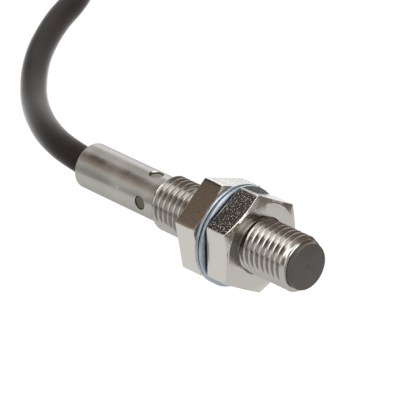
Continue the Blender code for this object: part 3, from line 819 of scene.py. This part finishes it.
def linear(hex_colour):
    """sRGB hex to linear: values over 0.04045 go through a 2.4 power curve, the rest are scaled."""
    values = [int(hex_colour[i:i + 2], 16) / 255 for i in (1, 3, 5)]
    return tuple(v / 12.92 if v <= 0.04045 else ((v + 0.055) / 1.055) ** 2.4 for v in values) + (1.0,)


def add(tree, kind, settings=None, links=None):
    """Adds one node: settings are its own properties or input values, links its input sources."""
    node = tree.nodes.new("ShaderNode" + kind)
    for key, value in (settings or {}).items():
        if isinstance(key, int) or key in node.inputs:
            node.inputs[key].default_value = value
        else:
            setattr(node, key, value)
    for key, source in (links or {}).items():
        tree.links.new(source, node.inputs[key])
    return node


def new_material(name, colour, roughness, metallic=0.0, **more):
    """A Principled material and its tree, with constants set on the shader's own sockets."""
    material = bpy.data.materials.new(name)
    material.use_nodes = True
    tree = material.node_tree
    shader = tree.nodes["Principled BSDF"]
    shader.inputs["Base Color"].default_value = linear(colour)
    shader.inputs["Roughness"].default_value = roughness
    shader.inputs["Metallic"].default_value = metallic
    for key, value in more.items():
        shader.inputs[key.replace("_", " ")].default_value = value
    return material, tree, shader


def per_metre(size_mm):
    """A pattern's scale on Object coordinates, so that one feature is about size_mm wide."""
    return 1000.0 / size_mm


def colour_ramp(tree, source, stops):
    """A ramp from a number to colours: stops are (place, hex colour)."""
    ramp = add(tree, "ValToRGB", links={"Fac": source})
    elements = ramp.color_ramp.elements
    elements[0].position, elements[0].color = stops[0][0], linear(stops[0][1])
    elements[1].position, elements[1].color = stops[-1][0], linear(stops[-1][1])
    for place, colour in stops[1:-1]:
        elements.new(place).color = linear(colour)
    return ramp


def paint(obj, material):
    """Gives an object one material in all its slots."""
    if not obj.data.materials:
        obj.data.materials.append(material)
    for material_slot in obj.material_slots:
        material_slot.material = material


# %% [markdown]
# Nickel plate over turned brass is warm, bright and a little soft. A lathe leaves fine rings, so
# the bump follows the distance along the axis alone. Handling dulls it in patches. The thread is
# cut with a finer tool than the sleeve, and shines more. One small punched dimple marks the sleeve.

# %% Plated metal
THREAD_FINISH = 0.55
DIMPLE_ANGLE = math.radians(167)
DIMPLE_PLACE = (-34.5 * MM, SLEEVE_RADIUS * math.cos(DIMPLE_ANGLE) * MM,
                SLEEVE_RADIUS * math.sin(DIMPLE_ANGLE) * MM)


def turned_nickel():
    """The housing: fine rings and dull patches, a finer finish on the thread, and one dimple."""
    material, tree, shader = new_material("turned_nickel_plate", "#aba7a0", 0.3, 1.0,
                                          Specular_Tint=(0.6, 0.6, 0.6, 1.0))
    place = add(tree, "TexCoord").outputs["Object"]
    along = add(tree, "Mapping", {"Scale": (per_metre(0.25), per_metre(30), per_metre(30))},
                {"Vector": place})
    rings = add(tree, "TexNoise", {"Scale": 1.0, "Detail": 4.0, "Roughness": 0.65},
                {"Vector": along.outputs["Vector"]})
    patches = add(tree, "TexNoise", {"Scale": per_metre(5), "Detail": 3.0}, {"Vector": place})
    dull = add(tree, "MapRange", {"From Min": 0.35, "From Max": 0.7, "To Min": 0.24, "To Max": 0.36},
               {"Value": patches.outputs["Fac"]})
    lengthwise = add(tree, "SeparateXYZ", links={"Vector": place})
    finer = add(tree, "MapRange", {"From Min": (THREAD_REAR - 0.2) * MM, "From Max": THREAD_REAR * MM,
                                   "To Min": 1.0, "To Max": THREAD_FINISH},
                {"Value": lengthwise.outputs["X"]})
    finish = add(tree, "Math", {"operation": "MULTIPLY"},
                 {0: dull.outputs["Result"], 1: finer.outputs["Result"]})
    tree.links.new(finish.outputs["Value"], shader.inputs["Roughness"])
    away = add(tree, "VectorMath", {"operation": "DISTANCE", 1: DIMPLE_PLACE}, {0: place})
    dimple = add(tree, "MapRange", {"From Min": 0.05 * MM, "From Max": 0.28 * MM, "To Min": -12.0,
                                    "To Max": 0.0}, {"Value": away.outputs["Value"]})
    height = add(tree, "Math", {"operation": "ADD"},
                 {0: rings.outputs["Fac"], 1: dimple.outputs["Result"]})
    bump = add(tree, "Bump", {"Strength": 0.25, "Distance": 0.00002}, {"Height": height.outputs["Value"]})
    tree.links.new(bump.outputs["Normal"], shader.inputs["Normal"])
    tone = colour_ramp(tree, patches.outputs["Fac"], [(0.3, "#a6a29d"), (0.7, "#b0ada8")])
    tree.links.new(tone.outputs["Color"], shader.inputs["Base Color"])
    return material


def drawn_nickel(name, pit_depth):
    """A nut: drawn bar with small glinting pits on its flats, and painted shade on faces facing +X."""
    material, tree, shader = new_material(name, "#c0bdb7", 0.12, 1.0)
    coordinates = add(tree, "TexCoord")
    place = coordinates.outputs["Object"]
    grain = add(tree, "TexNoise", {"Scale": per_metre(0.22), "Detail": 6.0, "Roughness": 0.7},
                {"Vector": place})
    specks = add(tree, "TexNoise", {"Scale": per_metre(0.2), "Detail": 0.0}, {"Vector": place})
    pits = add(tree, "MapRange", {"From Min": 0.66, "From Max": 0.74, "To Min": 0.0, "To Max": pit_depth},
               {"Value": specks.outputs["Fac"]})
    both = add(tree, "Math", {"operation": "ADD"}, {0: grain.outputs["Fac"], 1: pits.outputs["Result"]})
    bump = add(tree, "Bump", {"Strength": 0.4, "Distance": 0.00003}, {"Height": both.outputs["Value"]})
    tree.links.new(bump.outputs["Normal"], shader.inputs["Normal"])
    dull = add(tree, "MapRange", {"From Min": 0.3, "From Max": 0.7, "To Min": 0.09, "To Max": 0.16},
               {"Value": grain.outputs["Fac"]})
    tree.links.new(dull.outputs["Result"], shader.inputs["Roughness"])
    # Painted shade: the base colour darkens where the normal points along +X, on the front face and its
    # chamfer.
    painted_shade_facing = add(tree, "SeparateXYZ", links={"Vector": coordinates.outputs["Normal"]})
    tone = colour_ramp(tree, painted_shade_facing.outputs["X"], [(0.8, "#c0bdb7"), (0.88, "#b4b1ab")])
    tree.links.new(tone.outputs["Color"], shader.inputs["Base Color"])
    return material


def zinc_plate():
    """The washers: zinc with a clear blue passivation, duller than nickel and slightly cloudy."""
    material, tree, shader = new_material("blue_passivated_zinc", "#929ba4", 0.3, 1.0)
    place = add(tree, "TexCoord").outputs["Object"]
    cloud = add(tree, "TexNoise", {"Scale": per_metre(1.6), "Detail": 5.0}, {"Vector": place})
    tone = colour_ramp(tree, cloud.outputs["Fac"], [(0.3, "#848d97"), (0.7, "#a1a9b1")])
    tree.links.new(tone.outputs["Color"], shader.inputs["Base Color"])
    dull = add(tree, "MapRange", {"From Min": 0.3, "From Max": 0.7, "To Min": 0.26, "To Max": 0.42},
               {"Value": cloud.outputs["Fac"]})
    tree.links.new(dull.outputs["Result"], shader.inputs["Roughness"])
    return material


# %% [markdown]
# The plastics are all moulded or extruded: a base colour that drifts a little, a fine texture
# and a satin shine. What differs is the grain's size and the shine.

# %% Plastics, rubber and resin


def moulded(name, colour, other, roughness, grain_mm, depth_mm, **more):
    """A moulded or extruded plastic: two close colours in clouds, and a fine even grain."""
    material, tree, shader = new_material(name, colour, roughness, **more)
    place = add(tree, "TexCoord").outputs["Object"]
    cloud = add(tree, "TexNoise", {"Scale": per_metre(grain_mm * 12), "Detail": 3.0}, {"Vector": place})
    tone = colour_ramp(tree, cloud.outputs["Fac"], [(0.3, colour), (0.7, other)])
    tree.links.new(tone.outputs["Color"], shader.inputs["Base Color"])
    grain = add(tree, "TexNoise", {"Scale": per_metre(grain_mm), "Detail": 2.0}, {"Vector": place})
    bump = add(tree, "Bump", {"Strength": 0.4, "Distance": depth_mm * MM},
               {"Height": grain.outputs["Fac"]})
    tree.links.new(bump.outputs["Normal"], shader.inputs["Normal"])
    return material


turned_plate = turned_nickel()
drawn_plates = {"front_nut": drawn_nickel("pitted_nickel_plate", 0.45),
                "rear_nut": drawn_nickel("drawn_nickel_plate", 0.1)}
zinc = zinc_plate()
cap_plastic = moulded("moulded_polyester_cap", "#38332f", "#3d3834", 0.5, 0.12, 0.01)
jacket = moulded("extruded_pvc_jacket", "#1b1411", "#1f1815", 0.6, 0.2, 0.012,
                 Specular_IOR_Level=0.1, Sheen_Weight=0.95, Sheen_Roughness=0.22)
rubber = moulded("moulded_rubber", "#1d1c1b", "#262423", 0.7, 0.1, 0.01)
nylon = moulded("moulded_nylon", "#1f1e1e", "#2a2928", 0.42, 0.25, 0.01)
resin = moulded("cast_clear_resin", "#3a3620", "#48442c", 0.18, 0.5, 0.01)
lens = moulded("clear_lamp_lens", "#b9b48e", "#cbc7a6", 0.15, 0.4, 0.005)
ferrite = moulded("sintered_ferrite", "#3a3a3d", "#46464a", 0.6, 0.08, 0.01)
bobbin = moulded("moulded_bobbin_plastic", "#d8d0b8", "#e2dcc8", 0.45, 0.15, 0.005)
laminate = moulded("green_solder_mask", "#1c5a34", "#256b40", 0.35, 0.3, 0.01)
chip = moulded("moulded_chip_resin", "#1f1f20", "#28282a", 0.5, 0.06, 0.005)
film = moulded("glazed_resistor_film", "#16161a", "#202026", 0.25, 0.2, 0.003)
ceramic = moulded("fired_capacitor_ceramic", "#a8875c", "#b8986e", 0.4, 0.1, 0.004)
brown = moulded("brown_pvc_insulation", "#5d3520", "#6a3e27", 0.38, 0.2, 0.006)
blue = moulded("blue_pvc_insulation", "#1f4f9e", "#2a5cae", 0.38, 0.2, 0.006)
black = moulded("black_pvc_insulation", "#1c1b1b", "#252424", 0.38, 0.2, 0.006)
copper, _, _ = new_material("enamelled_copper_wire", "#c06a3a", 0.28, 1.0)
brass, _, _ = new_material("drawn_brass", "#d0b070", 0.3, 1.0)
tinned, _, _ = new_material("tinned_copper_strand", "#cfcfca", 0.25, 1.0)

# %% Paint every piece
PAINTS = {
    "housing": turned_plate, "ferrite_core": ferrite, "coil_bobbin": bobbin, "coil_winding": copper,
    "coil_lead_start": copper, "coil_lead_end": copper, "shield_ring": brass,
    "circuit_board": laminate, "oscillator_chip": chip, "output_transistor": chip,
    "protection_diode": chip, "upper_led": lens, "lower_led": lens, "light_ring": resin,
    "cable_grommet": rubber, "brown_core": brown, "blue_core": blue, "black_core": black,
}
for node, material in PAINTS.items():
    paint(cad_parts[node], material)
for number in range(1, 5):
    paint(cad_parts[f"resistor_{number}"], film)
for number in range(1, 4):
    paint(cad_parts[f"capacitor_{number}"], ceramic)
for piece, material in ((housing, turned_plate), (cap, cap_plastic), (cord_piece, jacket),
                        (band, nylon), (head, nylon), (leads["brown"], brown),
                        (leads["blue"], blue), (leads["black"], black)):
    paint(piece, material)
for name, piece in nuts.items():
    paint(piece, drawn_plates[name])
for piece in washers.values():
    paint(piece, zinc)
for piece in tips.values():
    paint(piece, tinned)

# %% [markdown]
# ## Studio
#
# Plated metal shows its surroundings more than its own colour, so the studio matters most. The
# set is a light table, which glows from below, leaves no shadow and fades to both sides past the
# view. It has a bright wall at its far end, a grey card at the left, and brown boards at the right
# and low in front of the sensing face. Up to the left hang a brown flag and a smaller, nearly
# black one, which draw the dark facets that make metal read as metal. Softboxes in front of the
# face, overhead and at the near left put a highlight on every thread. Each is a soft patch round
# one direction, so one function adds them all.

# %% Surroundings
BASE_LIGHT = (0.70, 0.69, 0.67)
PATCHES = [
    # where the patch is seen, its full and its outer half width in degrees, and its light
    ((-0.652, 0.74, 0.10), 15, 31, (1.95, 1.98, 2.02)),
    ((-0.652, -0.75, 0.0), 6, 17, (0.47, 0.46, 0.44)),
    ((-0.652, -0.33, 0.68), 11, 25, (0.37, 0.28, 0.22)),
    ((0.40, 0.78, 0.44), 20, 36, (0.25, 0.20, 0.165)),
    ((0.98, 0.05, -0.03), 10, 17, (0.20, 0.16, 0.13)),
    ((0.93, 0.0, 0.34), 10, 17, (3.0, 3.0, 3.0)),
    ((0.50, -0.14, 0.86), 24, 34, (3.2, 3.2, 3.2)),
    ((-0.16, -0.02, 0.98), 17, 25, (3.6, 3.6, 3.6)),
    ((-0.22, -0.93, 0.27), 16, 24, (1.9, 1.9, 1.9)),
    ((-0.652, -0.19, 0.73), 7, 13, (0.040, 0.029, 0.023)),
]
TABLE_GLOW = 1.05
TABLE_HALF = 3.0
ACROSS_VIEW = (0.686, 0.727, 0.0)
# The table's glow changes between two distances across it, in millimetres, to a light
TABLE_FADES = [(-49, -64, (0.47, 0.47, 0.47)), (22, 36, (0.26, 0.22, 0.18))]


def mixed(tree, under, light, value, start, end):
    """A light laid over what is under it, by a smooth step as the value goes from start to end."""
    share = add(tree, "MapRange", {"interpolation_type": "SMOOTHSTEP", "From Min": start,
                                   "From Max": end}, {"Value": value})
    mix = add(tree, "Mix", {"data_type": "RGBA", 7: light + (1.0,)},
              {0: share.outputs["Result"], 6: under})
    return mix.outputs[2]


def build_world():
    """The surroundings: each patch is mixed in by a smooth step on the angle to its direction."""
    world = bpy.data.worlds.new("studio")
    bpy.context.scene.world = world
    world.use_nodes = True
    tree = world.node_tree
    direction = add(tree, "TexCoord").outputs["Generated"]
    total = add(tree, "RGB").outputs[0]
    total.default_value = BASE_LIGHT + (1.0,)
    for place, inner, outer, light in PATCHES:
        unit = np.array(place) / np.linalg.norm(place)
        near = add(tree, "VectorMath", {"operation": "DOT_PRODUCT", 1: tuple(unit)}, {0: direction})
        total = mixed(tree, total, light, near.outputs["Value"],
                      math.cos(math.radians(outer)), math.cos(math.radians(inner)))
    tree.links.new(total, tree.nodes["Background"].inputs["Color"])


def light_table():
    """The table's glow: even in the middle, and fading to both sides past what the camera sees."""
    material = bpy.data.materials.new("light_table")
    material.use_nodes = True
    tree = material.node_tree
    tree.nodes.remove(tree.nodes["Principled BSDF"])
    place = add(tree, "TexCoord").outputs["Object"]
    across = add(tree, "VectorMath", {"operation": "DOT_PRODUCT", 1: ACROSS_VIEW}, {0: place})
    glow = add(tree, "RGB").outputs[0]
    glow.default_value = (TABLE_GLOW,) * 3 + (1.0,)
    for start, end, light in TABLE_FADES:
        glow = mixed(tree, glow, light, across.outputs["Value"], start * MM, end * MM)
    light = add(tree, "Emission", links={"Color": glow})
    tree.links.new(light.outputs[0], tree.nodes["Material Output"].inputs["Surface"])
    return material


build_world()
corners = [(-1, -1), (1, -1), (1, 1), (-1, 1)]
table_mesh = bpy.data.meshes.new("table")
table_mesh.from_pydata([(x * TABLE_HALF, y * TABLE_HALF, SURFACE_Z * MM) for x, y in corners],
                       [], [(0, 1, 2, 3)])
table = bpy.data.objects.new("table", table_mesh)
bpy.context.scene.collection.objects.link(table)
paint(table, light_table())
bpy.context.scene.view_settings.view_transform = "Standard"
print("patches of light:", len(PATCHES))
